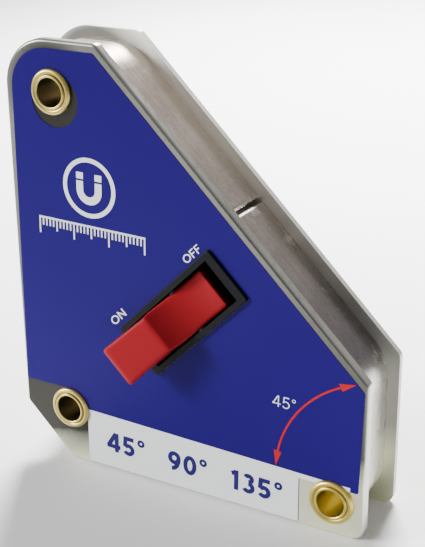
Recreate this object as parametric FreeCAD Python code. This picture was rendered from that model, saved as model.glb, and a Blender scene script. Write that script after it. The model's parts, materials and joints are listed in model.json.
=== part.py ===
import FreeCAD, Part
import math
import os

# Switchable welding magnet square, millimetres.
# Drawing axes: x from the left edge of the plates, z up from their bottom edge, y from front to back.
# Sloped axes: u runs square to the 45 degree edge and w along it, both from the plates' bottom left corner.
# Switch axes: s is u counted from the rocker's pivot and v is the height above the front face.

# plates, the two poles
PLATE_WIDTH = 95.0
PLATE_HEIGHT = 109.0
RIGHT_EDGE = 40.0
TOP_EDGE = PLATE_WIDTH + RIGHT_EDGE - PLATE_HEIGHT
HEEL_CHAMFER = 13.5
PLATE_THICKNESS = 2.2
OVERALL_THICKNESS = 20.6
EDGE_ROLL = 0.8
PLATE_RADII = (2.0, 3.0, 2.0, 2.0, 12.0, 2.0)

# band that closes the rim between the plates
BAND_INSET = 2.8
BAND_THICKNESS = 0.8
BAND_RADII = (3.5, 6.5, 14.0, 14.0, 9.2, 3.5)
BAND_GAP = 0.8
BAND_GAP_W = -9.8
LIP_RADIUS = 1.2
LIP_LEG = 1.2

# cast core between the plates
CORE_CLEARANCE = 0.3
LIP_NOTCH = 7.0
LIP_NOTCH_DEPTH = 2.4

# brass eyelets through the three corners, with a spacer sleeve round each
EYELETS = {"top": (13.4, 96.8), "heel": (14.0, 14.8), "toe": (86.9, 8.5)}
BORE_RADIUS = 3.4
BARREL_RADIUS = 3.75
FLANGE_RADIUS = 5.5
LIP_CREST = 1.2
GROOVE_RADIUS = 4.2
GROOVE_HEIGHT = 0.75
RIM_HEIGHT = 0.95
RIM_CROWN = 0.6
SLEEVE_BORE = 3.8
SLEEVE_RADIUS = 4.2

# magnets, magnetised through their thickness, with a soft iron shoe on each pole
SHOE_THICKNESS = 1.2
POCKET_CLEARANCE = 0.1
EDGE_MAGNETS = {"left": (5.5, 13.0, 27.0, 82.0), "base": (27.0, 74.0, 5.5, 13.0)}
SLOPE_MAGNETS = {"upper_slope": (83.0, 90.3, -47.0, -15.0), "lower_slope": (83.0, 90.3, 10.0, 31.0)}

# labels, printed film
FILM = 0.12
LABEL_CORNERS = (
    (19.2, 20.2, 5.5),
    (18.8, 0.6, 0.5),
    (78.5, 0.6, 0.5),
    (78.5, 12.4, 0.3),
    (93.4, 12.4, 0.5),
    (94.1, 38.1, 1.0),
    (25.3, 106.9, 1.0),
    (2.2, 106.9, 10.0),
    (0.7, 20.2, 0.5),
)
LABEL_HOLE = (14.2, 94.9, 6.5)
REAR_LABEL_INSET = 2.2
REAR_LABEL_RADII = (2.0, 6.0, 2.0, 2.0, 10.0, 2.0)
FILM_CLEARANCE = 0.05

# switch: bezel, pivot and rocker
SWITCH_U = 67.6
BEZEL_LENGTH = 35.0
BEZEL_WIDTH = 14.6
BEZEL_PROUD = 1.0
BEZEL_CORNER = 0.8
BEZEL_EDGE = 0.25
OPENING_LENGTH = 30.4
OPENING_WIDTH = 11.6
SKIRT_LENGTH = 32.2
SKIRT_WIDTH = 13.2
SKIRT_DEPTH = 7.5
CUTOUT_CLEARANCE = 0.1
LEDGE_THICKNESS = 0.7
LEDGE_PAD_SETBACK = 1.0
ON_LEDGE = (-15.4, -10.5)
OFF_LEDGE = (5.5, 15.4)
PIVOT_DEPTH = 2.5
PIVOT_RADIUS = 1.25
PIVOT_RUNNING = 0.05
ROCKER_TRAVEL_DEG = 15.0
BODY_HALF_WIDTH = 5.3
PAD_END_HALF_WIDTH = 5.5
PAD_RIDGE_HALF_WIDTH = 4.95
PAD_END = -20.1
PAD_RIDGE = -4.6
PAD_END_HEIGHT = 9.25
PAD_RIDGE_HEIGHT = 6.8
PAD_END_ROUND = 2.0
TAB_UNDER = ((-13.3, 5.8), (-20.1, 6.6))
HOLLOW_MIDDLE = (-0.9, 2.1)
OFF_END = (10.9, -0.9)
OFF_HEEL = (9.4, -5.0)
ON_HEEL = (-14.0, -2.0)
BOSS_RADIUS = 3.0
BOSS_FLAT = 1.0
BOSS_STEP = 2.5
ROCKER_EDGE = 0.3
STOP_CLEARANCE = 0.1
ON_STOP_TOP = -5.8

# finger, drive pin and keeper slide
FINGER_LENGTH = 9.0
FINGER_WIDTH = 5.8
FINGER_THICKNESS = 3.4
LUG_RADIUS = 2.0
DRIVE_PIN_RADIUS = 1.0
DRIVE_PIN_LENGTH = 11.0
PIN_SLOT_CLEARANCE = 0.15
CARRIER_FRONT = -9.0
CARRIER_REAR = -14.5
CARRIER_START = -20.0
CARRIER_END = 5.0
CARRIER_HALF_WIDTH = 6.1
ARM_LENGTH = 3.4
WINDOW_HALF_LENGTH = 3.0
WINDOW_HALF_WIDTH = 3.3
PIN_SLOT_BOTTOM = -13.0
TONGUE_REACH = 0.8
TONGUE_FRONT = -11.2
TONGUE_REAR = -12.4
SLIDE_CLEARANCE = 0.1
GROOVE_CLEARANCE = 0.15
KEEPER_LENGTH = 4.5
KEEPER_HALF_WIDTH = 5.0
KEEPER_END_CLEARANCE = 0.6
PAD_LENGTH = 5.4
PAD_HALF_WIDTH = 5.5
PAD_DEPTH = 7.2
KEEPER_PAD_GAP = 0.1
POCKET_HALF_WIDTH = 7.5
POCKET_END = 17.5
RAIL_START = -20.0
RAIL_END = 9.0
RAIL_FRONT = -9.5
RAIL_REAR = -14.0

ROOT2 = math.sqrt(2.0)
HALF_THICKNESS = OVERALL_THICKNESS / 2
INNER_Y = HALF_THICKNESS - PLATE_THICKNESS
SLOPE_U = (PLATE_WIDTH + RIGHT_EDGE) / ROOT2
ACROSS = FreeCAD.Vector(1, 0, -1) / ROOT2
BACK = FreeCAD.Vector(0, 1, 0)
HALF_TRAVEL = math.radians(ROCKER_TRAVEL_DEG / 2)
DRIVE_S = -FINGER_LENGTH * math.sin(HALF_TRAVEL)
DRIVE_V = -PIVOT_DEPTH - FINGER_LENGTH * math.cos(HALF_TRAVEL)
KEEPER_START = CARRIER_START - KEEPER_LENGTH
PAD_START = KEEPER_START - KEEPER_PAD_GAP - PAD_LENGTH
ROCKER_REACH = 8.9
MIDDLE_Y = (ROCKER_REACH - LIP_CREST) / 2
CORE_INSET = BAND_INSET + BAND_THICKNESS + CORE_CLEARANCE
PLATE_CORNERS = (
    (HEEL_CHAMFER, 0.0),
    (PLATE_WIDTH, 0.0),
    (PLATE_WIDTH, RIGHT_EDGE),
    (TOP_EDGE, PLATE_HEIGHT),
    (0.0, PLATE_HEIGHT),
    (0.0, HEEL_CHAMFER),
)


def flat(x, z):
    """Drawing point on the middle plane between the plates."""
    return FreeCAD.Vector(x - PLATE_WIDTH / 2, 0, z)


def slope(u, w):
    """Point given along the sloped axes, on the middle plane."""
    return flat((u + w) / ROOT2, (u - w) / ROOT2)


def lengthwise(s, v):
    """Point of the switch's lengthwise section."""
    return slope(SWITCH_U + s, 0) - BACK * (HALF_THICKNESS + v)


def switch_plan(s, w):
    """Point of the switch's plan, on the middle plane."""
    return slope(SWITCH_U + s, w)


def rounded_face(corners, place):
    """Face inside straight runs whose corners (a, b, radius) are rounded by tangent arcs."""
    points = [FreeCAD.Vector(a, b, 0) for a, b, _ in corners]
    edges = []
    joints = []
    for i, (_, _, radius) in enumerate(corners):
        here = points[i]
        back = (points[i - 1] - here).normalize()
        ahead = (points[(i + 1) % len(points)] - here).normalize()
        half = back.getAngle(ahead) / 2
        reach = radius / math.tan(half)
        start = here + back * reach
        end = here + ahead * reach
        bisector = (back + ahead).normalize()
        middle = here + bisector * (radius / math.sin(half) - radius)
        joints.append((start, middle, end, radius))
    for i, (start, middle, end, radius) in enumerate(joints):
        if radius > 0:
            edges.append(Part.Arc(*(place(p.x, p.y) for p in (start, middle, end))).toShape())
        following = joints[(i + 1) % len(joints)][0]
        edges.append(Part.LineSegment(place(end.x, end.y), place(following.x, following.y)).toShape())
    return Part.Face(Part.Wire(edges))


def slab(corners, place, front, rear):
    """Rounded outline, carried from y = front to y = rear."""
    face = rounded_face(corners, place)
    face.translate(BACK * front)
    return face.extrude(BACK * (rear - front))


def rectangle(a0, a1, b0, b1, radius=0.0):
    return ((a0, b0, radius), (a1, b0, radius), (a1, b1, radius), (a0, b1, radius))


def centred(length, width, radius=0.0):
    return rectangle(-length / 2, length / 2, -width / 2, width / 2, radius)


def section_bar(corners, w0, w1):
    """Lengthwise section of the switch, carried across it from w0 to w1."""
    face = rounded_face(corners, lengthwise)
    face.translate(ACROSS * w0)
    return face.extrude(ACROSS * (w1 - w0))


def block(s0, s1, w0, w1, v0, v1):
    """Block in the switch's axes."""
    return section_bar(rectangle(s0, s1, v0, v1), w0, w1)


def rod(radius, place_point, length, direction):
    """Round bar of a given length, centred on a point."""
    return Part.makeCylinder(radius, length, place_point - direction * (length / 2), direction)


def inset(corners, distance, radii):
    """Outline moved inwards by a distance, with its own corner radii."""
    moved = []
    for i, (x, z) in enumerate(corners):
        here = FreeCAD.Vector(x, z, 0)
        before = FreeCAD.Vector(*corners[i - 1], 0)
        after = FreeCAD.Vector(*corners[(i + 1) % len(corners)], 0)
        arriving = (here - before).normalize()
        leaving = (after - here).normalize()
        left_in = FreeCAD.Vector(-arriving.y, arriving.x, 0)
        left_out = FreeCAD.Vector(-leaving.y, leaving.x, 0)
        bisector = (left_in + left_out).normalize()
        corner = here + bisector * (distance / bisector.dot(left_in))
        moved.append((corner.x, corner.y, radii[i]))
    return moved


def column(x, z, radius, front, rear):
    """Round column from front to rear through a drawing point."""
    return Part.makeCylinder(radius, rear - front, flat(x, z) + BACK * front, BACK)


def plate(outer, inner):
    """Pole plate with its outer rim rolled over and its eyelet holes punched."""
    front, rear = min(outer, inner), max(outer, inner)
    shape = slab(inset(PLATE_CORNERS, 0.0, PLATE_RADII), flat, front, rear)
    rim = [e for e in shape.Edges if all(abs(p.Point.y - outer) < 1e-6 for p in e.Vertexes)]
    shape = shape.makeFillet(EDGE_ROLL, rim)
    for x, z in EYELETS.values():
        shape = shape.cut(column(x, z, BARREL_RADIUS, front, rear))
    return shape


def front_plate():
    shape = plate(-HALF_THICKNESS, -INNER_Y)
    window = centred(SKIRT_LENGTH + 2 * CUTOUT_CLEARANCE, SKIRT_WIDTH + 2 * CUTOUT_CLEARANCE)
    return shape.cut(slab(window, switch_plan, -HALF_THICKNESS, -INNER_Y))


def rear_plate():
    return plate(HALF_THICKNESS, INNER_Y)


def clear_flanges(film, front, rear):
    """Film with room cut for the eyelets' flanges."""
    for x, z in EYELETS.values():
        film = film.cut(column(x, z, FLANGE_RADIUS + FILM_CLEARANCE, front, rear))
    return film


def front_label():
    front, rear = -HALF_THICKNESS - FILM, -HALF_THICKNESS
    film = slab(LABEL_CORNERS, flat, front, rear)
    film = film.cut(column(*LABEL_HOLE, front, rear))
    window = centred(BEZEL_LENGTH + 2 * FILM_CLEARANCE, BEZEL_WIDTH + 2 * FILM_CLEARANCE, BEZEL_CORNER)
    film = film.cut(slab(window, switch_plan, front, rear))
    return clear_flanges(film, front, rear)


def rear_label():
    front, rear = HALF_THICKNESS, HALF_THICKNESS + FILM
    film = slab(inset(PLATE_CORNERS, REAR_LABEL_INSET, REAR_LABEL_RADII), flat, front, rear)
    return clear_flanges(film, front, rear)


def band_lip(side):
    """End of the band, turned in towards the core."""
    outer_u = SLOPE_U - BAND_INSET
    gap_edge = BAND_GAP_W + side * BAND_GAP / 2
    centre_u = outer_u - LIP_RADIUS
    centre_w = gap_edge + side * LIP_RADIUS
    inner = LIP_RADIUS - BAND_THICKNESS
    turn = math.sin(math.pi / 4)
    arcs = []
    for radius in (LIP_RADIUS, inner):
        start = slope(centre_u + radius, centre_w)
        middle = slope(centre_u + radius * turn, centre_w - side * radius * turn)
        end = slope(centre_u, centre_w - side * radius)
        arcs.append((start, middle, end))
    leg_outer = slope(centre_u - LIP_LEG, gap_edge)
    leg_inner = slope(centre_u - LIP_LEG, gap_edge + side * BAND_THICKNESS)
    edges = [
        Part.Arc(*arcs[0]).toShape(),
        Part.LineSegment(arcs[0][2], leg_outer).toShape(),
        Part.LineSegment(leg_outer, leg_inner).toShape(),
        Part.LineSegment(leg_inner, arcs[1][2]).toShape(),
        Part.Arc(*arcs[1]).toShape(),
        Part.LineSegment(arcs[1][0], arcs[0][0]).toShape(),
    ]
    face = Part.Face(Part.Wire(edges))
    face.translate(BACK * -INNER_Y)
    return face.extrude(BACK * (2 * INNER_Y))


def casing_band():
    """Strip bent round the rim, its two ends meeting at a narrow gap on the sloped edge."""
    outer = slab(inset(PLATE_CORNERS, BAND_INSET, BAND_RADII), flat, -INNER_Y, INNER_Y)
    inner_radii = [radius - BAND_THICKNESS for radius in BAND_RADII]
    inner = slab(inset(PLATE_CORNERS, BAND_INSET + BAND_THICKNESS, inner_radii), flat, -INNER_Y, INNER_Y)
    opening = BAND_GAP / 2 + LIP_RADIUS
    outer_u = SLOPE_U - BAND_INSET
    gap = rectangle(outer_u - LIP_NOTCH, outer_u + 1, BAND_GAP_W - opening, BAND_GAP_W + opening)
    band = outer.cut(inner).cut(slab(gap, slope, -INNER_Y, INNER_Y))
    return band.fuse([band_lip(-1), band_lip(1)]).removeSplitter()


def core_housing():
    """Non-magnetic casting that spaces the plates and holds the magnets and the slide."""
    radii = [radius - BAND_THICKNESS - CORE_CLEARANCE for radius in BAND_RADII]
    core = slab(inset(PLATE_CORNERS, CORE_INSET, radii), flat, -INNER_Y, INNER_Y)
    pocket = rectangle(PAD_START - 2 * POCKET_CLEARANCE, POCKET_END, -POCKET_HALF_WIDTH, POCKET_HALF_WIDTH)
    core = core.cut(slab(pocket, switch_plan, -INNER_Y, INNER_Y))
    edge = SLOPE_U - CORE_INSET
    notch = rectangle(edge - LIP_NOTCH_DEPTH, edge + 1, BAND_GAP_W - LIP_NOTCH / 2, BAND_GAP_W + LIP_NOTCH / 2)
    core = core.cut(slab(notch, slope, -INNER_Y, INNER_Y))
    for x, z in EYELETS.values():
        core = core.cut(column(x, z, SLEEVE_RADIUS + POCKET_CLEARANCE, -INNER_Y, INNER_Y))
    for place, seats in ((flat, EDGE_MAGNETS), (slope, SLOPE_MAGNETS)):
        for a0, a1, b0, b1 in seats.values():
            c = POCKET_CLEARANCE
            core = core.cut(slab(rectangle(a0 - c, a1 + c, b0 - c, b1 + c), place, -INNER_Y, INNER_Y))
    return core


def magnet_stacks():
    """Each magnet between its front and rear pole shoes."""
    pieces = {}
    seam = INNER_Y - SHOE_THICKNESS
    for place, seats in ((flat, EDGE_MAGNETS), (slope, SLOPE_MAGNETS)):
        for name, seat in seats.items():
            outline = rectangle(*seat)
            pieces[name + "_magnet"] = slab(outline, place, -seam, seam)
            pieces[name + "_front_shoe"] = slab(outline, place, -INNER_Y, -seam)
            pieces[name + "_rear_shoe"] = slab(outline, place, seam, INNER_Y)
    return pieces


def flange_section(side):
    """Rolled flange of an eyelet: an inner lip, a groove and a rounded rim, as (radius, y) edges."""
    def point(radius, height):
        return FreeCAD.Vector(radius, side * (HALF_THICKNESS + height), 0)

    lip_middle = (BORE_RADIUS + GROOVE_RADIUS) / 2
    rim_middle = GROOVE_RADIUS + (FLANGE_RADIUS - GROOVE_RADIUS) * RIM_CROWN
    crest = Part.Arc(
        point(BORE_RADIUS, GROOVE_HEIGHT), point(lip_middle, LIP_CREST), point(GROOVE_RADIUS, GROOVE_HEIGHT)
    )
    rim = Part.Arc(point(GROOVE_RADIUS, GROOVE_HEIGHT), point(rim_middle, RIM_HEIGHT), point(FLANGE_RADIUS, 0))
    under = Part.LineSegment(point(FLANGE_RADIUS, 0), point(BARREL_RADIUS, 0))
    return [crest.toShape(), rim.toShape(), under.toShape()]


def eyelet(x, z):
    """Brass tube rolled over at both ends."""
    ends = HALF_THICKNESS + GROOVE_HEIGHT
    bore = Part.LineSegment(FreeCAD.Vector(BORE_RADIUS, -ends, 0), FreeCAD.Vector(BORE_RADIUS, ends, 0))
    barrel = Part.LineSegment(
        FreeCAD.Vector(BARREL_RADIUS, -HALF_THICKNESS, 0), FreeCAD.Vector(BARREL_RADIUS, HALF_THICKNESS, 0)
    )
    edges = flange_section(-1) + flange_section(1) + [bore.toShape(), barrel.toShape()]
    wire = Part.Wire(Part.__sortEdges__(edges))
    shape = Part.Face(wire).revolve(FreeCAD.Vector(0, 0, 0), BACK, 360)
    shape.translate(flat(x, z))
    return shape


def spacer_sleeve(x, z):
    outside = column(x, z, SLEEVE_RADIUS, -INNER_Y, INNER_Y)
    return outside.cut(column(x, z, SLEEVE_BORE, -INNER_Y, INNER_Y))


def pivot_point():
    return lengthwise(0, -PIVOT_DEPTH)


def rocker_bezel():
    """Frame round the rocker, with a skirt that goes through the front plate and carries the pivot."""
    face = -HALF_THICKNESS
    flange = slab(centred(BEZEL_LENGTH, BEZEL_WIDTH, BEZEL_CORNER), switch_plan, face - BEZEL_PROUD, face)
    top = [e for e in flange.Edges if all(abs(p.Point.y - face + BEZEL_PROUD) < 1e-6 for p in e.Vertexes)]
    flange = flange.makeFillet(BEZEL_EDGE, top)
    skirt = slab(centred(SKIRT_LENGTH, SKIRT_WIDTH), switch_plan, face, face + SKIRT_DEPTH)
    opening = centred(OPENING_LENGTH, OPENING_WIDTH)
    bezel = flange.fuse(skirt).cut(slab(opening, switch_plan, face - BEZEL_PROUD, face + SKIRT_DEPTH))
    half = OPENING_WIDTH / 2 + POCKET_CLEARANCE
    for s0, s1 in (ON_LEDGE, OFF_LEDGE):
        bezel = bezel.fuse(block(s0, s1, -half, half, -SKIRT_DEPTH, LEDGE_THICKNESS - SKIRT_DEPTH))
    bezel = bezel.cut(rod(PIVOT_RADIUS, pivot_point(), BEZEL_WIDTH, ACROSS))
    return bezel.removeSplitter()


def pivot_pin():
    return rod(PIVOT_RADIUS, pivot_point(), SKIRT_WIDTH, ACROSS)


def stop_pads():
    """Rubber pads on the bezel's ledges that stop the rocker at each end."""
    half = OPENING_WIDTH / 2 - POCKET_CLEARANCE
    ledge = LEDGE_THICKNESS - SKIRT_DEPTH
    on_pad = block(ON_LEDGE[0] + LEDGE_PAD_SETBACK, ON_LEDGE[1], -half, half, ledge, ON_STOP_TOP)
    off_pad = block(OFF_LEDGE[0] + LEDGE_PAD_SETBACK, OFF_HEEL[0], -half, half, ledge, OFF_HEEL[1] - STOP_CLEARANCE)
    return {"on_stop_pad": on_pad, "off_stop_pad": off_pad}


def rocker_body():
    """Rocker's lengthwise section: raised thumb pad, hollow, and heels under both ends."""
    fall = (PAD_RIDGE_HEIGHT - PAD_END_HEIGHT) / (PAD_RIDGE - PAD_END)
    slope_angle = math.atan(fall)
    half_turn = (math.pi / 2 - slope_angle) / 2
    reach = PAD_END_ROUND * math.tan(half_turn)
    upright = (PAD_END, PAD_END_HEIGHT - reach)
    centre = (PAD_END + PAD_END_ROUND, PAD_END_HEIGHT - reach)
    turned = math.pi - half_turn
    bend = (centre[0] + PAD_END_ROUND * math.cos(turned), centre[1] + PAD_END_ROUND * math.sin(turned))
    on_pad = (PAD_END + reach * math.cos(slope_angle), PAD_END_HEIGHT + reach * math.sin(slope_angle))
    ridge = (PAD_RIDGE, PAD_RIDGE_HEIGHT)
    boss_left = (-BOSS_RADIUS - BOSS_FLAT, OFF_HEEL[1])
    boss_up = (-BOSS_RADIUS - BOSS_STEP, ON_HEEL[1])
    edges = [
        Part.Arc(lengthwise(*upright), lengthwise(*bend), lengthwise(*on_pad)).toShape(),
        Part.LineSegment(lengthwise(*on_pad), lengthwise(*ridge)).toShape(),
        Part.Arc(lengthwise(*ridge), lengthwise(*HOLLOW_MIDDLE), lengthwise(*OFF_END)).toShape(),
    ]
    run = [OFF_END, OFF_HEEL, boss_left, boss_up, ON_HEEL, TAB_UNDER[0], TAB_UNDER[1], upright]
    for start, end in zip(run, run[1:]):
        edges.append(Part.LineSegment(lengthwise(*start), lengthwise(*end)).toShape())
    face = Part.Face(Part.Wire(edges))
    face.translate(ACROSS * -PAD_END_HALF_WIDTH)
    return face.extrude(ACROSS * (2 * PAD_END_HALF_WIDTH))


def rocker_plan():
    """Rocker seen from above: the thumb pad narrows towards the ridge and the rest is parallel."""
    deep = FINGER_LENGTH + PIVOT_DEPTH + LUG_RADIUS
    y0, y1 = -HALF_THICKNESS - PAD_END_HEIGHT - 1, -HALF_THICKNESS + deep
    pad = (
        (PAD_END - 1, -PAD_END_HALF_WIDTH, 0.0),
        (PAD_RIDGE, -PAD_RIDGE_HALF_WIDTH, 0.0),
        (PAD_RIDGE, PAD_RIDGE_HALF_WIDTH, 0.0),
        (PAD_END - 1, PAD_END_HALF_WIDTH, 0.0),
    )
    body = rectangle(PAD_RIDGE, OFF_END[0] + 1, -BODY_HALF_WIDTH, BODY_HALF_WIDTH)
    return slab(pad, switch_plan, y0, y1).fuse(slab(body, switch_plan, y0, y1))


def is_upper_rim(edge):
    """True for the rocker's long upper edges, which are rounded to the touch."""
    start, end = (edge.valueAt(t) for t in (edge.FirstParameter, edge.LastParameter))
    lowest = min(-HALF_THICKNESS - p.y for p in (start, end))
    lengthwise_run = abs((end - start).dot(ACROSS)) < 1.0 < start.distanceToPoint(end)
    return lengthwise_run and lowest > OFF_END[1] - ROCKER_EDGE


def finger():
    """Lever under the rocker that reaches down to the keeper slide."""
    lug = rod(LUG_RADIUS, lengthwise(DRIVE_S, DRIVE_V), FINGER_WIDTH, ACROSS)
    half = FINGER_THICKNESS / 2
    lean = FreeCAD.Vector(math.cos(HALF_TRAVEL), -math.sin(HALF_TRAVEL), 0) * half
    ends = ((0, -PIVOT_DEPTH), (DRIVE_S, DRIVE_V))
    corners = [(ends[0][0] + lean.x, ends[0][1] + lean.y, 0.0), (ends[1][0] + lean.x, ends[1][1] + lean.y, 0.0)]
    corners += [(ends[1][0] - lean.x, ends[1][1] - lean.y, 0.0), (ends[0][0] - lean.x, ends[0][1] - lean.y, 0.0)]
    return lug.fuse(section_bar(corners, -FINGER_WIDTH / 2, FINGER_WIDTH / 2))


def rocker():
    """Moulded rocker with its pivot boss and the finger that drives the keeper."""
    shape = rocker_body().common(rocker_plan()).removeSplitter().Solids[0]
    shape = shape.makeFillet(ROCKER_EDGE, [e for e in shape.Edges if is_upper_rim(e)])
    shape = shape.fuse(rod(BOSS_RADIUS, pivot_point(), 2 * BODY_HALF_WIDTH, ACROSS)).fuse(finger())
    shape = shape.cut(rod(PIVOT_RADIUS + PIVOT_RUNNING, pivot_point(), BEZEL_WIDTH, ACROSS))
    return shape.cut(rod(DRIVE_PIN_RADIUS, lengthwise(DRIVE_S, DRIVE_V), BEZEL_WIDTH, ACROSS)).removeSplitter()


def drive_pin():
    return rod(DRIVE_PIN_RADIUS, lengthwise(DRIVE_S, DRIVE_V), DRIVE_PIN_LENGTH, ACROSS)


def keeper_carrier():
    """Plastic slide that the drive pin pushes, forked round the keeper block."""
    half = CARRIER_HALF_WIDTH
    carrier = block(CARRIER_START, CARRIER_END, -half, half, CARRIER_REAR, CARRIER_FRONT)
    for w0, w1 in ((-half, -KEEPER_HALF_WIDTH), (KEEPER_HALF_WIDTH, half)):
        arm = block(CARRIER_START - ARM_LENGTH, CARRIER_START, w0, w1, CARRIER_REAR, CARRIER_FRONT)
        carrier = carrier.fuse(arm)
    reach = half + TONGUE_REACH
    carrier = carrier.fuse(block(CARRIER_START, CARRIER_END, -reach, reach, TONGUE_REAR, TONGUE_FRONT))
    s0, s1 = DRIVE_S - WINDOW_HALF_LENGTH, DRIVE_S + WINDOW_HALF_LENGTH
    w = WINDOW_HALF_WIDTH
    carrier = carrier.cut(block(s0, s1, -w, w, CARRIER_REAR, CARRIER_FRONT))
    slot = DRIVE_PIN_RADIUS + PIN_SLOT_CLEARANCE
    carrier = carrier.cut(block(DRIVE_S - slot, DRIVE_S + slot, -reach, reach, PIN_SLOT_BOTTOM, CARRIER_FRONT))
    return carrier.removeSplitter()


def keeper_block():
    depth = OVERALL_THICKNESS - PLATE_THICKNESS - KEEPER_END_CLEARANCE
    front = -PLATE_THICKNESS - KEEPER_END_CLEARANCE
    return block(KEEPER_START, CARRIER_START, -KEEPER_HALF_WIDTH, KEEPER_HALF_WIDTH, -depth, front)


def keeper_pads():
    """Soft iron stops standing on the two plates, which the keeper bridges when switched off."""
    front = -PLATE_THICKNESS
    rear = PLATE_THICKNESS - OVERALL_THICKNESS
    ends = (PAD_START, PAD_START + PAD_LENGTH)
    return {
        "front_keeper_pad": block(*ends, -PAD_HALF_WIDTH, PAD_HALF_WIDTH, front - PAD_DEPTH, front),
        "rear_keeper_pad": block(*ends, -PAD_HALF_WIDTH, PAD_HALF_WIDTH, rear, rear + PAD_DEPTH),
    }


def guide_rails():
    """Pair of grooved rails that the slide's tongues run in."""
    rails = {}
    inner = CARRIER_HALF_WIDTH + SLIDE_CLEARANCE
    groove = CARRIER_HALF_WIDTH + TONGUE_REACH + GROOVE_CLEARANCE
    for name, side in (("upper_guide_rail", -1), ("lower_guide_rail", 1)):
        w0, w1 = sorted((side * inner, side * POCKET_HALF_WIDTH))
        rail = block(RAIL_START, RAIL_END, w0, w1, RAIL_REAR, RAIL_FRONT)
        g0, g1 = sorted((side * inner, side * groove))
        channel = block(
            RAIL_START, RAIL_END, g0, g1, TONGUE_REAR - GROOVE_CLEARANCE, TONGUE_FRONT + GROOVE_CLEARANCE
        )
        rails[name] = rail.cut(channel)
    return rails


def all_pieces():
    pieces = {
        "front_plate": front_plate(),
        "rear_plate": rear_plate(),
        "front_label": front_label(),
        "rear_label": rear_label(),
        "casing_band": casing_band(),
        "core_housing": core_housing(),
        "rocker_bezel": rocker_bezel(),
        "pivot_pin": pivot_pin(),
        "rocker": rocker(),
        "drive_pin": drive_pin(),
        "keeper_carrier": keeper_carrier(),
        "keeper_block": keeper_block(),
    }
    for group in (magnet_stacks(), stop_pads(), keeper_pads(), guide_rails()):
        pieces.update(group)
    for name, (x, z) in EYELETS.items():
        pieces["eyelet_" + name] = eyelet(x, z)
        pieces["spacer_sleeve_" + name] = spacer_sleeve(x, z)
    return pieces


os.makedirs("parts", exist_ok=True)
for node, solid in all_pieces().items():
    solid.translate(BACK * MIDDLE_Y)
    solid.exportStep(os.path.join("parts", node + ".step"))
    print(node, solid.ShapeType, len(solid.Solids), solid.isValid(), round(solid.Volume, 1))
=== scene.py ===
import json
import math

import bmesh
import bpy
from mathutils import Matrix, Vector


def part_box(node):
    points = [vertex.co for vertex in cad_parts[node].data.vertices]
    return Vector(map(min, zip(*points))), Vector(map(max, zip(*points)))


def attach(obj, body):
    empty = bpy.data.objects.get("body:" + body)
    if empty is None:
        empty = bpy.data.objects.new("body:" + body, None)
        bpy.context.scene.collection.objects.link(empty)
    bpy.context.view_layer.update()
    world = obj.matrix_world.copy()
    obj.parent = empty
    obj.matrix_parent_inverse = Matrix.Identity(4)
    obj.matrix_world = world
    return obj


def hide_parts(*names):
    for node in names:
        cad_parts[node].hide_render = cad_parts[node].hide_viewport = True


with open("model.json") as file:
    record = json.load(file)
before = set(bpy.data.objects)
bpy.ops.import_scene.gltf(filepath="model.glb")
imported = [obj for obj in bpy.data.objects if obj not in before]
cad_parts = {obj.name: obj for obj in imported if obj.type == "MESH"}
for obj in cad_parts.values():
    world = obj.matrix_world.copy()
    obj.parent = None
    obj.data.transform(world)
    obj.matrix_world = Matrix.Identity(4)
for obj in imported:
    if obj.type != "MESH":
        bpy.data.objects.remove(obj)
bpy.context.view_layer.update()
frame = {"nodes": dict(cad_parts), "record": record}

# Lengths are millimetres where they are multiplied by MM or go through place(), and metres elsewhere.
# Drawing axes: x from the plates' left edge, z up from their bottom edge.
# Sloped axes: u square to the 45 degree edge and w along it.
MM = 0.001
ROOT2 = math.sqrt(2.0)
plate_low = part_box("front_plate")[0]
LABEL_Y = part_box("front_label")[0].y

# print: thickness of one layer, and the steps that keep crossing strokes off one another's plane
INK = 0.03
OVERLAPS = 4
OVERLAP_STEP = 0.003
OVAL_STEPS = 40
DEGREE_WEIGHT = 0.6
LETTER_GAP = 0.14
PRINT_TILT = math.radians(-1.4)

# softened rocker: grid, passes, depth below the front face, and the radius round the pivot left alone
MOULD_VOXEL = 0.22
MOULD_SMOOTHING = 32
MOULD_DEPTH = 2.0
PIVOT_WALL = 2.2

# the toe eyelet, which the white strip goes round
TOE = (86.9, 8.5)
TOE_CLEAR = 5.6

# tones of the metals and the film, each the dark and the light side of a cloud of noise; the plates' bright
# foot is a painted reflection, and the strip's tones are painted light and shade by height
FOOT_REFLECTION_TONES = ((0.80, 0.84, 0.62), (0.94, 0.97, 0.74))
ROLLED_NICKEL = ((0.50, 0.50, 0.46), (0.66, 0.66, 0.61))
STRIP_LOW = ((0.25, 0.232, 0.242), (0.29, 0.268, 0.28))
STRIP_HIGH = ((0.75, 0.645, 0.56), (0.85, 0.73, 0.64))
STRIP_SIDE = ((0.46, 0.44, 0.40), (0.54, 0.52, 0.47))
NICK = (0.95, 0.92, 0.88)
FILM_BLUE = ((0.0115, 0.003, 0.105), (0.0135, 0.004, 0.12))

# heights above the plates' bottom edge, in metres, between which one tone gives way to the next; on the
# plates they bound a painted reflection bright along the foot and a painted darker reflection above it, on
# the strip painted shade low down and painted light higher up
BRIGHT_FOOT = (0.0065, 0.0140)
FOOT_TILT = 0.16
FIELD_RISE = (0.05, 0.085)
STRIP_CORNER = (0.036, 0.042)
STRIP_RISE = (0.045, 0.095)

# distances from an eyelet's axis, in metres: bore to lip, lip to groove, groove to rim, which bound the
# painted bore tone and the painted shade in the groove
BORE_EDGE = (0.00345, 0.0036)
LIP_EDGE = (0.0038, 0.0042)
GROOVE_EDGE = (0.0042, 0.005)

# how much farther, in metres, the painted shade on a plate reaches round the heel eyelet than round the top
# one
HEEL_SHADE_REACH = 0.005

# camera, from the plates' left bottom edge on the middle plane between them
CAMERA = (185.81, -239.00, 164.52)
FORWARD = (-0.45884, 0.80738, -0.37095)
UPWARD = (-0.17477, 0.32733, 0.92861)
LENS = 82.04
SENSOR = 36.0


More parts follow.
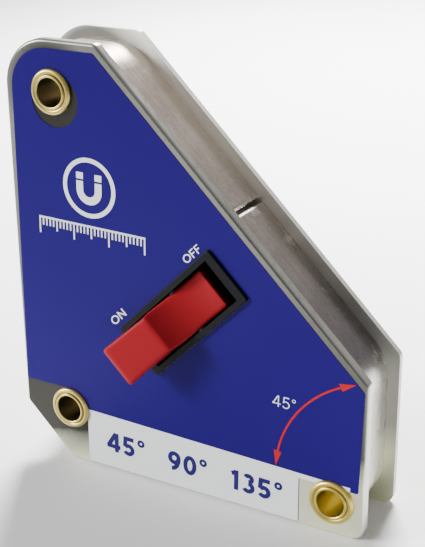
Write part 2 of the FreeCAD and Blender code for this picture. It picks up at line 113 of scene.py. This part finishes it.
def place(x, z, proud=0.0):
    """Point of the label's front face, a height proud of it, in the frame's metres."""
    return Vector((plate_low.x + x * MM, LABEL_Y - proud * MM, plate_low.z + z * MM))


def from_slope(u, w):
    """Drawing point of a point given along the sloped axes."""
    return (u + w) / ROOT2, (u - w) / ROOT2


# ---------------------------------------------------------------- materials


class Finish:
    """A material with its principled shader and short calls for the nodes that feed it."""

    def __init__(self, name, color, roughness, metallic=0.0):
        self.material = bpy.data.materials.new(name)
        self.material.use_nodes = True
        self.tree = self.material.node_tree
        self.shader = self.tree.nodes["Principled BSDF"]
        self.set("Base Color", (*color, 1.0))
        self.set("Roughness", roughness)
        self.set("Metallic", metallic)

    def set(self, socket, value):
        self.shader.inputs[socket].default_value = value

    def node(self, kind, **values):
        made = self.tree.nodes.new(kind)
        for key, value in values.items():
            setattr(made, key, value)
        return made

    def link(self, out, into):
        self.tree.links.new(out, into)

    def coords(self, scale=(1.0, 1.0, 1.0), turn=(0.0, 0.0, 0.0)):
        source = self.node("ShaderNodeTexCoord").outputs["Object"]
        mapping = self.node("ShaderNodeMapping")
        mapping.inputs["Scale"].default_value = scale
        mapping.inputs["Rotation"].default_value = turn
        self.link(source, mapping.inputs["Vector"])
        return mapping.outputs["Vector"]

    def noise(self, scale, detail=4.0, roughness=0.55, vector=None):
        made = self.node("ShaderNodeTexNoise")
        made.inputs["Scale"].default_value = scale
        made.inputs["Detail"].default_value = detail
        made.inputs["Roughness"].default_value = roughness
        self.link(vector if vector else self.coords(), made.inputs["Vector"])
        return made.outputs["Fac"]

    def remap(self, value, low, high, to_low, to_high):
        made = self.node("ShaderNodeMapRange")
        for socket, number in zip(made.inputs[1:5], (low, high, to_low, to_high)):
            socket.default_value = number
        self.link(value, made.inputs["Value"])
        return made.outputs["Result"]

    def ramp(self, value, edges):
        """0 below the first edge, 1 above the second."""
        return self.remap(value, *edges, 0.0, 1.0)

    def blend(self, factor, first, second):
        made = self.node("ShaderNodeMix", data_type="RGBA")
        self.link(factor, made.inputs["Factor"])
        for socket, color in ((made.inputs["A"], first), (made.inputs["B"], second)):
            if isinstance(color, tuple):
                socket.default_value = (*color, 1.0)
            else:
                self.link(color, socket)
        return made.outputs["Result"]

    def math(self, operation, first, second):
        made = self.node("ShaderNodeMath", operation=operation)
        for socket, value in zip(made.inputs, (first, second)):
            if isinstance(value, (int, float)):
                socket.default_value = value
            else:
                self.link(value, socket)
        return made.outputs[0]

    def height(self, tilt=0.0):
        """Metres above the plates' bottom edge, or above a line through its middle that climbs to the toe."""
        split = self.node("ShaderNodeSeparateXYZ")
        self.link(self.node("ShaderNodeTexCoord").outputs["Object"], split.inputs[0])
        climbed = self.math("MULTIPLY", split.outputs["X"], tilt)
        return self.math("SUBTRACT", self.math("SUBTRACT", split.outputs["Z"], plate_low.z), climbed)

    def edge_on(self):
        """1 on surfaces that face sideways out of a plate, 0 on its faces."""
        split = self.node("ShaderNodeSeparateXYZ")
        self.link(self.node("ShaderNodeTexCoord").outputs["Normal"], split.inputs[0])
        return self.remap(self.math("ABSOLUTE", split.outputs["Y"], 0.0), 0.55, 0.9, 1.0, 0.0)

    def from_eyelet(self, node):
        """Metres from the axis of an eyelet."""
        low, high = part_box(node)
        centre = (low + high) / 2
        shift = self.node("ShaderNodeVectorMath", operation="SUBTRACT")
        self.link(self.node("ShaderNodeTexCoord").outputs["Object"], shift.inputs[0])
        shift.inputs[1].default_value = (centre.x, 0.0, centre.z)
        squash = self.node("ShaderNodeVectorMath", operation="MULTIPLY")
        self.link(shift.outputs["Vector"], squash.inputs[0])
        squash.inputs[1].default_value = (1.0, 0.0, 1.0)
        length = self.node("ShaderNodeVectorMath", operation="LENGTH")
        self.link(squash.outputs["Vector"], length.inputs[0])
        return length.outputs["Value"]

    def bump(self, height, distance, strength=1.0):
        made = self.node("ShaderNodeBump")
        made.inputs["Distance"].default_value = distance
        made.inputs["Strength"].default_value = strength
        self.link(height, made.inputs["Height"])
        self.link(made.outputs["Normal"], self.shader.inputs["Normal"])

    def color_from(self, output):
        self.link(output, self.shader.inputs["Base Color"])

    def roughness_from(self, output):
        self.link(output, self.shader.inputs["Roughness"])


def scaled(color, factor):
    """A colour made lighter or darker."""
    return tuple(factor * c for c in color)


def plate_steel(name, eyelet_shade, painted_low, haze, painted_upper, halo, fade, gloss):
    """Satin nickel plate: painted shade round two eyelets, a painted reflection bright along the bottom,
    painted darker reflection halfway up, hair scratches.

    halo is how far the painted shade reaches from an eyelet's axis, and fade how far it takes to clear.
    """
    finish = Finish(name, painted_low, gloss, metallic=1.0)
    cloud = finish.noise(60.0, detail=5.0)
    # painted shade: a plate is darkened round the top and heel eyelets
    heel = finish.math("SUBTRACT", finish.from_eyelet("eyelet_heel"), HEEL_SHADE_REACH)
    nearest = finish.math("MINIMUM", finish.from_eyelet("eyelet_top"), heel)
    unshaded = finish.ramp(nearest, (halo, halo + fade))
    # painted reflection: the plate's field is darker up to about half height and lighter above; the haze tone
    # is the light side of that painted darker reflection
    field = finish.blend(finish.ramp(finish.height(), FIELD_RISE), finish.blend(cloud, painted_low, haze), painted_upper)
    upper = finish.blend(unshaded, eyelet_shade, field)
    # painted reflection: a bright band along the foot of each plate, with a ragged edge that climbs towards
    # the toe
    ragged = finish.remap(cloud, 0.3, 0.7, -0.001, 0.001)
    drift = finish.math("ADD", finish.height(FOOT_TILT), ragged)
    bright = finish.blend(cloud, *FOOT_REFLECTION_TONES)
    faces = finish.blend(finish.ramp(drift, BRIGHT_FOOT), bright, upper)
    rim = finish.blend(cloud, *ROLLED_NICKEL)
    finish.color_from(finish.blend(finish.edge_on(), faces, rim))
    drawn_out = finish.coords(scale=(0.08, 1.0, 1.0), turn=(0.0, 0.5, 0.0))
    streak = finish.noise(900.0, detail=3.0, roughness=0.6, vector=drawn_out)
    wear = finish.math("ADD", cloud, streak)
    finish.roughness_from(finish.remap(wear, 0.6, 1.4, gloss - 0.05, gloss + 0.1))
    finish.bump(streak, distance=0.00001, strength=0.3)
    return finish.material


def band_steel():
    """Cold rolled strip with drawn marks, nicks and soft dents, painted darker low down and painted lighter
    and warmer up the slope.
    """
    finish = Finish("bright_strip", (0.66, 0.62, 0.58), 0.3, metallic=1.0)
    drawn = finish.noise(2600.0, detail=3.0, roughness=0.6, vector=finish.coords(scale=(0.03, 1.0, 0.03)))
    rubs = finish.noise(90.0, detail=4.0, roughness=0.6)
    # painted light and shade: the strip's tone goes by height, a mid tone on the lower side, darker above it,
    # lighter and warmer up the slope
    low = finish.blend(rubs, *STRIP_LOW)
    high = finish.blend(rubs, *STRIP_HIGH)
    slope = finish.blend(finish.ramp(finish.height(), STRIP_RISE), low, high)
    side = finish.blend(rubs, *STRIP_SIDE)
    lit_and_shaded = finish.blend(finish.ramp(finish.height(), STRIP_CORNER), side, slope)
    specks = finish.noise(330.0, detail=3.0, roughness=0.6, vector=finish.coords(scale=(0.6, 0.5, 0.35)))
    nicks = finish.remap(specks, 0.62, 0.70, 0.0, 0.7)
    finish.color_from(finish.blend(nicks, lit_and_shaded, NICK))
    finish.roughness_from(finish.remap(finish.math("ADD", drawn, rubs), 0.7, 1.3, 0.22, 0.34))
    dents = finish.noise(55.0, detail=2.0)
    faint = finish.math("MULTIPLY", drawn, 0.1)
    finish.bump(finish.math("ADD", faint, dents), distance=0.00015, strength=0.3)
    return finish.material


def brass(name, node, painted_bore, flange_dark, flange_light):
    """Rolled brass of one eyelet, with its own painted tone down the bore and painted shade in the groove
    round the lip.
    """
    finish = Finish(name, flange_light, 0.34, metallic=1.0)
    tarnish = finish.noise(160.0, detail=4.0)
    radius = finish.from_eyelet(node)
    flange = finish.blend(tarnish, flange_dark, flange_light)
    # painted shade: the groove round the lip is darker than the flange
    shaded = scaled(flange_dark, 0.8)
    groove = finish.blend(finish.ramp(radius, GROOVE_EDGE), shaded, flange)
    lip = finish.blend(finish.ramp(radius, LIP_EDGE), flange, groove)
    finish.color_from(finish.blend(finish.ramp(radius, BORE_EDGE), painted_bore, lip))
    finish.roughness_from(finish.remap(tarnish, 0.3, 0.7, 0.3, 0.42))
    finish.bump(finish.noise(900.0, detail=2.0), distance=0.000006, strength=0.25)
    return finish.material


def label_film():
    """Deep blue printed film with a soft orange peel and faint handling haze."""
    finish = Finish("blue_film", (0.010, 0.004, 0.11), 0.3)
    haze = finish.noise(35.0, detail=4.0)
    finish.color_from(finish.blend(haze, *FILM_BLUE))
    finish.roughness_from(finish.remap(finish.noise(500.0, detail=3.0), 0.3, 0.7, 0.3, 0.4))
    finish.bump(finish.noise(1400.0, detail=2.0), distance=0.000008, strength=0.5)
    finish.set("Specular IOR Level", 0.06)
    return finish.material


def ink(name, color):
    """Printed ink, with slightly uneven cover and a fine screen grain."""
    finish = Finish(name, color, 0.45)
    finish.set("Specular IOR Level", 0.12)
    cover = finish.noise(900.0, detail=3.0)
    finish.color_from(finish.blend(cover, scaled(color, 0.93), color))
    finish.roughness_from(finish.remap(cover, 0.3, 0.7, 0.4, 0.5))
    finish.bump(finish.noise(2400.0, detail=2.0), distance=0.000005, strength=0.4)
    return finish.material


def plastic(name, color, roughness, grain, gloss=0.2):
    """Moulded plastic with a fine sparked grain and slight sink variation."""
    finish = Finish(name, color, roughness)
    finish.set("Specular IOR Level", gloss)
    drift = finish.noise(130.0, detail=4.0)
    finish.color_from(finish.blend(drift, scaled(color, 0.86), scaled(color, 1.1)))
    polish = finish.noise(1500.0, detail=3.0)
    finish.roughness_from(finish.remap(polish, 0.3, 0.7, roughness - 0.05, roughness + 0.07))
    finish.bump(finish.noise(3000.0, detail=3.0), distance=grain, strength=0.5)
    return finish.material


def plain_metal(name, color, roughness):
    """Ground or cast metal of the inner pieces."""
    finish = Finish(name, color, roughness, metallic=1.0)
    cloud = finish.noise(300.0, detail=4.0)
    finish.color_from(finish.blend(cloud, scaled(color, 0.85), color))
    finish.roughness_from(finish.remap(cloud, 0.3, 0.7, roughness - 0.06, roughness + 0.08))
    finish.bump(finish.noise(1800.0, detail=3.0), distance=0.00001, strength=0.5)
    return finish.material


def floor_paint():
    """Pale matt floor with a slow, faint change of tone."""
    finish = Finish("studio_floor", (0.86, 0.86, 0.86), 0.7)
    finish.color_from(finish.blend(finish.noise(8.0, detail=3.0), (0.85, 0.85, 0.85), (0.88, 0.88, 0.88)))
    return finish.material


FRONT_STEEL = plate_steel(
    "satin_nickel_plate",
    eyelet_shade=(0.035, 0.034, 0.03),
    painted_low=(0.10, 0.10, 0.092),
    haze=(0.16, 0.16, 0.145),
    painted_upper=(0.22, 0.22, 0.20),
    halo=0.0095,
    fade=0.004,
    gloss=0.28,
)
# painted light: the rear plate is the same nickel as the front, given lighter tones than the front to stand
# in for the light it catches
REAR_STEEL = plate_steel(
    "dull_nickel_plate",
    eyelet_shade=(0.16, 0.16, 0.15),
    painted_low=(0.36, 0.36, 0.33),
    haze=(0.44, 0.44, 0.41),
    painted_upper=(0.93, 0.93, 0.87),
    halo=0.0115,
    fade=0.006,
    gloss=0.5,
)
# painted light and shade: the top and heel eyelets take darker tones, with painted shade down the bore, and
# the toe eyelet lighter ones, with painted light down the bore
SHADED_BRASS = {
    "painted_bore": (0.22, 0.18, 0.10),
    "flange_dark": (0.42, 0.34, 0.10),
    "flange_light": (0.56, 0.46, 0.15),
}
LIT_BRASS = {
    "painted_bore": (0.52, 0.43, 0.11),
    "flange_dark": (0.55, 0.43, 0.09),
    "flange_light": (0.72, 0.57, 0.15),
}
TOP_BRASS = brass("rolled_brass", "eyelet_top", **SHADED_BRASS)
HEEL_BRASS = brass("rolled_brass_heel", "eyelet_heel", **SHADED_BRASS)
TOE_BRASS = brass("rolled_brass_toe", "eyelet_toe", **LIT_BRASS)
SLOT_FINISHES = {
    "plate_steel": FRONT_STEEL,
    "band_steel": band_steel(),
    "label_film": label_film(),
    "brass": TOP_BRASS,
    "black_plastic": plastic("bezel_black", (0.005, 0.006, 0.007), 0.38, grain=0.00001, gloss=0.1),
    "red_plastic": plastic("rocker_red", (0.265, 0.011, 0.016), 0.34, grain=0.000008, gloss=0.05),
    "core_aluminium": plain_metal("cast_core", (0.62, 0.62, 0.62), 0.5),
    "magnet": plain_metal("magnet_nickel", (0.6, 0.6, 0.58), 0.25),
    "soft_iron": plain_metal("soft_iron", (0.42, 0.42, 0.43), 0.4),
    "pin_steel": plain_metal("pin_steel", (0.1, 0.1, 0.1), 0.4),
    "acetal": plastic("acetal_black", (0.012, 0.012, 0.013), 0.4, grain=0.00001),
    "stop_rubber": plastic("stop_rubber", (0.02, 0.02, 0.02), 0.7, grain=0.00002),
}
WHITE_INK = ink("white_ink", (0.74, 0.76, 0.77))
BLUE_INK = ink("blue_ink", (0.014, 0.010, 0.110))
RED_INK = ink("red_ink", (0.42, 0.010, 0.010))


def dress_cad_nodes():
    """Give every carried-over CAD node its slot's finish, except the toe and heel eyelets and the rear plate,
    which get their own copies with painted light and shade.
    """
    own = {"eyelet_toe": TOE_BRASS, "eyelet_heel": HEEL_BRASS, "rear_plate": REAR_STEEL}
    for part in frame["record"]["subparts"]:
        mesh = frame["nodes"][part["node"]].data
        mesh.materials.clear()
        mesh.materials.append(own.get(part["node"], SLOT_FINISHES[part["material_slot"]]))


# ---------------------------------------------------------------- softened moulding


def moulded_rocker():
    """The rocker with the edges that stand out of the bezel softened, as it leaves its mould."""
    draft = bpy.data.objects.new("rocker_draft", frame["nodes"]["rocker"].data.copy())
    bpy.context.scene.collection.objects.link(draft)
    remesh = draft.modifiers.new("remesh", "REMESH")
    remesh.mode = "VOXEL"
    remesh.voxel_size = MOULD_VOXEL * MM
    remesh.use_smooth_shade = True
    bpy.context.view_layer.update()
    remeshed = draft.evaluated_get(bpy.context.evaluated_depsgraph_get())
    mesh = bpy.data.meshes.new_from_object(remeshed)
    bpy.data.objects.remove(draft)
    made = bmesh.new()
    made.from_mesh(mesh)
    pin_low, pin_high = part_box("pivot_pin")
    pivot = (pin_low + pin_high) / 2
    across = Vector((1.0, 0.0, -1.0)).normalized()
    shown = [v for v in made.verts if v.co.y < plate_low.y + MOULD_DEPTH * MM]
    clear = [v for v in shown if (v.co - pivot).cross(across).length > PIVOT_WALL * MM]
    for _ in range(MOULD_SMOOTHING):
        bmesh.ops.smooth_vert(
            made, verts=clear, factor=0.5, use_axis_x=True, use_axis_y=True, use_axis_z=True
        )
    made.to_mesh(mesh)
    made.free()
    piece = bpy.data.objects.new("moulded_rocker", mesh)
    bpy.context.scene.collection.objects.link(piece)
    mesh.materials.clear()
    mesh.materials.append(SLOT_FINISHES["red_plastic"])
    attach(piece, "rocker")
    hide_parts("rocker")


# ---------------------------------------------------------------- print on the label


def printed(name, mesh, finish):
    """A printed shape: rides on the casing and takes an ink."""
    piece = bpy.data.objects.new(name, mesh)
    bpy.context.scene.collection.objects.link(piece)
    mesh.materials.clear()
    mesh.materials.append(finish)
    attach(piece, "casing")
    return piece


def prism(name, loops, layer=0):
    """Thin printed layer over one or more outlines, each a hair thicker than the one before."""
    mesh = bpy.data.meshes.new(name)
    made = bmesh.new()
    for i, points in enumerate(loops):
        proud = (layer + 1) * INK + i % OVERLAPS * OVERLAP_STEP
        bottom = [made.verts.new(place(x, z, layer * INK)) for x, z in points]
        top = [made.verts.new(place(x, z, proud)) for x, z in points]
        made.faces.new(top)
        made.faces.new(bottom[::-1])
        for j in range(len(points)):
            k = (j + 1) % len(points)
            made.faces.new((bottom[j], bottom[k], top[k], top[j]))
    bmesh.ops.recalc_face_normals(made, faces=made.faces)
    bmesh.ops.triangulate(made, faces=[f for f in made.faces if len(f.verts) > 4])
    made.to_mesh(mesh)
    made.free()
    return mesh


def oval(cx, cz, rx, rz, start, end, steps=OVAL_STEPS):
    """Points of an ellipse's arc, angles in degrees from +x towards +z."""
    sweep = [math.radians(start + (end - start) * i / steps) for i in range(steps + 1)]
    return [(cx + rx * math.cos(a), cz + rz * math.sin(a)) for a in sweep]


def arc(cx, cz, radius, start, end, steps):
    """Points of a circle's arc."""
    return oval(cx, cz, radius, radius, start, end, steps)


def on_circle(cx, cz, radius, angle):
    """One point of a circle."""
    return arc(cx, cz, radius, angle, angle, 1)[0]


def stroke_arc(cx, cz, radius, start, end, width, steps):
    """Outline of an arc of even width."""
    outer = arc(cx, cz, radius + width / 2, start, end, steps)
    return outer + arc(cx, cz, radius - width / 2, end, start, steps)


def turned(points, about, angle):
    """Drawing points turned about another point."""
    ax, az = about
    c, s = math.cos(angle), math.sin(angle)
    return [(ax + (x - ax) * c - (z - az) * s, az + (x - ax) * s + (z - az) * c) for x, z in points]


def box_points(x0, x1, z0, z1):
    return [(x0, z0), (x1, z0), (x1, z1), (x0, z1)]


def ribbon(points, width):
    """Outline of a line of even width through points, with mitred corners."""
    line = [Vector(p) for p in points]
    left, right = [], []
    for i, here in enumerate(line):
        ahead = (line[i + 1] - here if i + 1 < len(line) else here - line[i - 1]).normalized().orthogonal()
        behind = (here - line[i - 1] if i else line[1] - here).normalized().orthogonal()
        across = (ahead + behind).normalized()
        reach = across * (width / 2 / across.dot(ahead))
        left.append(tuple(here + reach))
        right.append(tuple(here - reach))
    return left + right[::-1]


def glyphs(w):
    """Width and stroke lines of each character one unit high, for strokes w wide."""
    h = w / 2
    three = [oval(0.29, 0.74, 0.28 - h, 0.26 - h, 155, -90), oval(0.29, 0.3, 0.32 - h, 0.3 - h, 90, -155)]
    flag = [(0.58, 1.0 - h), (0.14, 1.0 - h), (0.11, 0.46)]
    five = [flag, oval(0.3, 0.32, 0.33 - h, 0.32 - h, 145, -150)]
    nine = [oval(0.33, 0.66, 0.33 - h, 0.34 - h, 0, 360), oval(0.2, 0.66, 0.46 - h, 0.66 - h, 0, -90)]
    diagonal = [(h, 0.95), (0.78 - h, 0.05)]
    return {
        " ": (0.40, []),
        "0": (0.68, [oval(0.34, 0.5, 0.34 - h, 0.5 - h, 0, 360)]),
        "1": (0.40, [[(0.34 - h, 0.0), (0.34 - h, 1.0)], [(0.0, 0.80), (0.34 - h, 1.0 - h)]]),
        "3": (0.62, three),
        "4": (0.72, [[(0.52, 0.0), (0.52, 1.0)], [(0.0, 0.28), (0.72, 0.28)], [(0.05, 0.25), (0.47, 0.97)]]),
        "5": (0.64, five),
        "9": (0.66, nine),
        "\u00b0": (0.42, [oval(0.2, 0.84, 0.13, 0.13, 0, 360)]),
        "O": (0.94, [oval(0.47, 0.5, 0.47 - h, 0.5 - h, 0, 360)]),
        "N": (0.78, [[(h, 0.0), (h, 1.0)], [(0.78 - h, 0.0), (0.78 - h, 1.0)], diagonal]),
        "F": (0.56, [[(h, 0.0), (h, 1.0)], [(0.0, 1.0 - h), (0.56, 1.0 - h)], [(0.0, 0.5), (0.5, 0.5)]]),
    }


def lettering(name, text, start, width, cap_height, angle, weight, finish, layer=1):
    """Generic characters of even stroke, from the lower left of the first one to a given overall width."""
    shapes = glyphs(weight)
    natural = sum(shapes[c][0] for c in text)
    gaps = LETTER_GAP * (len(text) - 1)
    stretch = width / (cap_height * (natural + gaps))
    loops = []
    x = 0.0
    for character in text:
        advance, strokes = shapes[character]
        stroke = weight * DEGREE_WEIGHT if character == "\u00b0" else weight
        for line in strokes:
            outline = ribbon([(x + px, pz) for px, pz in line], stroke)
            moved = [(start[0] + px * stretch * cap_height, start[1] + pz * cap_height) for px, pz in outline]
            loops.append(turned(moved, start, angle))
        x += advance + LETTER_GAP
    return printed(name, prism(name, loops, layer), finish)


def toe_angle(height, side):
    """Angle at which the clearance circle round the toe eyelet reaches a height, left (-1) or right (1)."""
    rise = math.degrees(math.asin((height - TOE[1]) / TOE_CLEAR))
    return rise if side > 0 else 180 - rise


def white_panel():
    """White strip along the bottom of the label, with a sliver that runs on over the toe eyelet."""
    left, right, bottom = 18.9, 78.4, 0.7
    low_edge, high_edge, high_end = 12.45, 13.62, 13.54
    top_left, top_right = (19.2, 15.55), (91.4, 13.5)
    low_angle, high_angle = toe_angle(low_edge, -1), toe_angle(high_edge, -1)
    strip = [(left, bottom), (right, bottom), (right, low_edge)]
    strip += arc(*TOE, TOE_CLEAR, low_angle, high_angle, 8)
    strip.append(top_left)
    low_angle, high_angle = toe_angle(low_edge, 1), toe_angle(high_edge, 1)
    sliver = [(on_circle(*TOE, TOE_CLEAR, high_angle)[0], high_end)]
    sliver += arc(*TOE, TOE_CLEAR, high_angle, low_angle, 8)[1:]
    sliver += [(top_right[0], low_edge), top_right]
    printed("white_panel", prism("white_panel", [strip, sliver]), WHITE_INK)


def angle_numbers():
    """Bold angle numbers on the white strip."""
    text = "45\u00b0  90\u00b0  135\u00b0"
    bold = 0.215
    lettering("angle_numbers", text, (24.7, 5.4), 49.6, 5.4, PRINT_TILT, bold, BLUE_INK, layer=2)


def switch_words():
    """Marks for the switch's two ends, reading along the rocker."""
    along, medium = math.radians(45), 0.15
    lettering("on_mark", "ON", from_slope(49.0, -8.6), 5.1, 2.1, along, medium, WHITE_INK)
    lettering("off_mark", "OFF", from_slope(77.5, -8.0), 5.8, 2.0, along, medium, WHITE_INK)


def angle_arc():
    """Red double-headed arc between the bottom and the sloped edge, with its angle."""
    cx, cz, radius, width = 101.0, 12.7, 28.6, 0.5
    tip_high, tip_low = 108.1, 177.0
    head, head_half_width, light = 8.2, 1.0, 0.085
    sunk = head * 0.8
    loops = [stroke_arc(cx, cz, radius, tip_high + sunk, tip_low - sunk, width, 48)]
    for tip, way in ((tip_high, 1), (tip_low, -1)):
        base = tip + way * head
        point = on_circle(cx, cz, radius, tip)
        left = on_circle(cx, cz, radius + head_half_width, base)
        right = on_circle(cx, cz, radius - head_half_width, base)
        loops.append([point, left, right])
    printed("angle_arc", prism("angle_arc", loops, layer=1), RED_INK)
    lettering("angle_number", "45\u00b0", (71.4, 29.8), 6.1, 2.9, PRINT_TILT, light, WHITE_INK)


def emblem():
    """Plain round badge with a horseshoe magnet in it."""
    cx, cz, radius = 22.8, 74.8, 7.4
    ring, limb, bend = 1.1, 1.9, 2.6
    bend_z = cz - 0.6
    limb_top, tip_low, tip_high = bend_z + 2.1, bend_z + 2.6, bend_z + 4.2
    loops = [
        stroke_arc(cx, cz, radius - ring / 2, 0, 360, ring, 96),
        stroke_arc(cx, bend_z, bend, 180, 360, limb, 40),
    ]
    for side in (-1, 1):
        middle = cx + side * bend
        loops.append(box_points(middle - limb / 2, middle + limb / 2, bend_z, limb_top))
        loops.append(box_points(middle - limb / 2, middle + limb / 2, tip_low, tip_high))
    tilted = [turned(p, (cx, cz), PRINT_TILT) for p in loops]
    printed("round_badge", prism("round_badge", tilted, layer=1), WHITE_INK)


def ruler():
    """Short printed scale under the badge: a line with a tick at every millimetre."""
    left, base, ticks, half_tick = 7.6, 61.4, 31, 0.2
    line_low, line_high, tick_top = base + 3.9, base + 4.4, base + 3.95
    loops = [box_points(left, left + ticks - 1 + 2 * half_tick, line_low, line_high)]
    for mark in range(ticks):
        depth = 3.9 if mark % 10 == 0 else 2.8 if mark % 5 == 0 else 1.8
        x = left + half_tick + mark
        loops.append(box_points(x - half_tick, x + half_tick, line_low - depth, tick_top))
    tilted = [turned(p, (left, base), PRINT_TILT) for p in loops]
    printed("ruler_marks", prism("ruler_marks", tilted, layer=1), WHITE_INK)


# ---------------------------------------------------------------- scene


def camera():
    """Camera at the photograph's viewing angle."""
    data = bpy.data.cameras.new("camera")
    data.lens = LENS
    data.sensor_fit = "VERTICAL"
    data.sensor_height = SENSOR
    data.clip_start = 0.01
    eye = bpy.data.objects.new("camera", data)
    bpy.context.scene.collection.objects.link(eye)
    middle_y = (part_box("front_plate")[0].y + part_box("rear_plate")[1].y) / 2
    back = -Vector(FORWARD).normalized()
    right = Vector(UPWARD).cross(back).normalized()
    up = back.cross(right)
    turn = Matrix((right, up, back)).transposed().to_4x4()
    corner = Vector((plate_low.x, middle_y, plate_low.z))
    eye.matrix_world = Matrix.Translation(corner + Vector(CAMERA) * MM) @ turn
    bpy.context.scene.camera = eye


def floor():
    """Plain floor at the plates' bottom edge."""
    mesh = bpy.data.meshes.new("floor")
    half = 3.0
    corners = [(-half, -half), (half, -half), (half, half), (-half, half)]
    mesh.from_pydata([(x, y, plate_low.z) for x, y in corners], [], [(0, 1, 2, 3)])
    ground = bpy.data.objects.new("floor", mesh)
    bpy.context.scene.collection.objects.link(ground)
    mesh.materials.append(floor_paint())


def soft_light(name, spot, aim, side, power, spread):
    """Square area light at a spot, turned towards its aim; spread in degrees."""
    data = bpy.data.lights.new(name, "AREA")
    data.shape = "SQUARE"
    data.size = side
    data.energy = power
    data.spread = math.radians(spread)
    lamp = bpy.data.objects.new(name, data)
    bpy.context.scene.collection.objects.link(lamp)
    lamp.location = spot
    lamp.rotation_euler = (Vector(aim) - Vector(spot)).to_track_quat("-Z", "Y").to_euler()


def lights():
    """A soft key from the left, a light on the floor behind, and an even, slightly warm surround."""
    soft_light("key", (-0.85, -0.68, 0.38), (0.12, 0.0, -0.02), side=0.6, power=2.1, spread=30)
    soft_light("back", (-0.3, 0.95, 1.0), (-0.08, 0.42, 0.0), side=0.5, power=15.0, spread=50)
    world = bpy.data.worlds.new("studio")
    bpy.context.scene.world = world
    world.use_nodes = True
    surround = world.node_tree.nodes["Background"]
    surround.inputs["Color"].default_value = (1.0, 0.97, 0.94, 1.0)
    surround.inputs["Strength"].default_value = 0.38


dress_cad_nodes()
moulded_rocker()
white_panel()
angle_numbers()
switch_words()
angle_arc()
emblem()
ruler()
camera()
floor()
lights()
